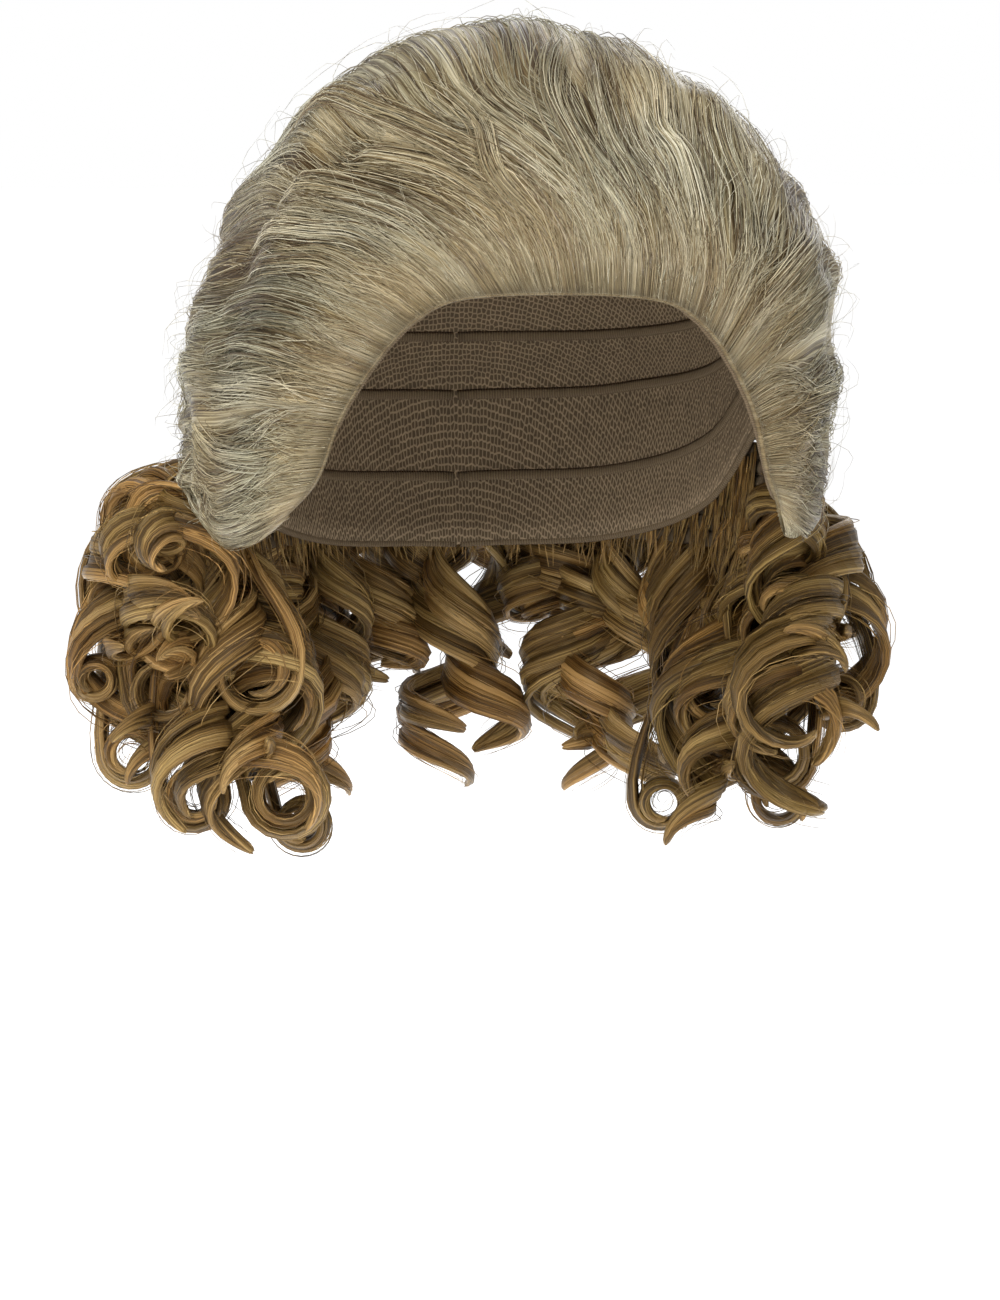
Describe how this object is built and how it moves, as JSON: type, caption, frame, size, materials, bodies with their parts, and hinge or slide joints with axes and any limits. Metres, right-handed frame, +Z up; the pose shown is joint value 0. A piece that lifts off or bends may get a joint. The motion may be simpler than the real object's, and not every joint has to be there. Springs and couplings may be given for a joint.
{
  "type": "costume wig",
  "caption": "Costume wig with light hair swept back from the hairline into a rounded roll over each ear, and brown ringlets that hang below and behind from a hollow cap.",
  "frame": {"origin": "the inner top of the cap, where the crown of the head meets it", "axes": "+Z up, the face side is -Y, and the wearer's left is +X"},
  "size_m": [0.2359, 0.2278, 0.2372],
  "materials": {
    "cap_net": "woven net with sewn weft rows",
    "light_hair": "satin fibre, combed back, ash blond with golden and grey streaks",
    "brown_hair": "satin fibre, curled, golden brown"
  },
  "bodies": {
    "root": {"cap": "cap_net", "top_hair": "light_hair", "side_roll_right": "light_hair", "side_roll_left": "light_hair", "curls_right": "brown_hair", "curls_left": "brown_hair", "curls_back_right": "brown_hair", "curls_back_middle": "brown_hair", "curls_back_left": "brown_hair"}
  },
  "joints": []
}
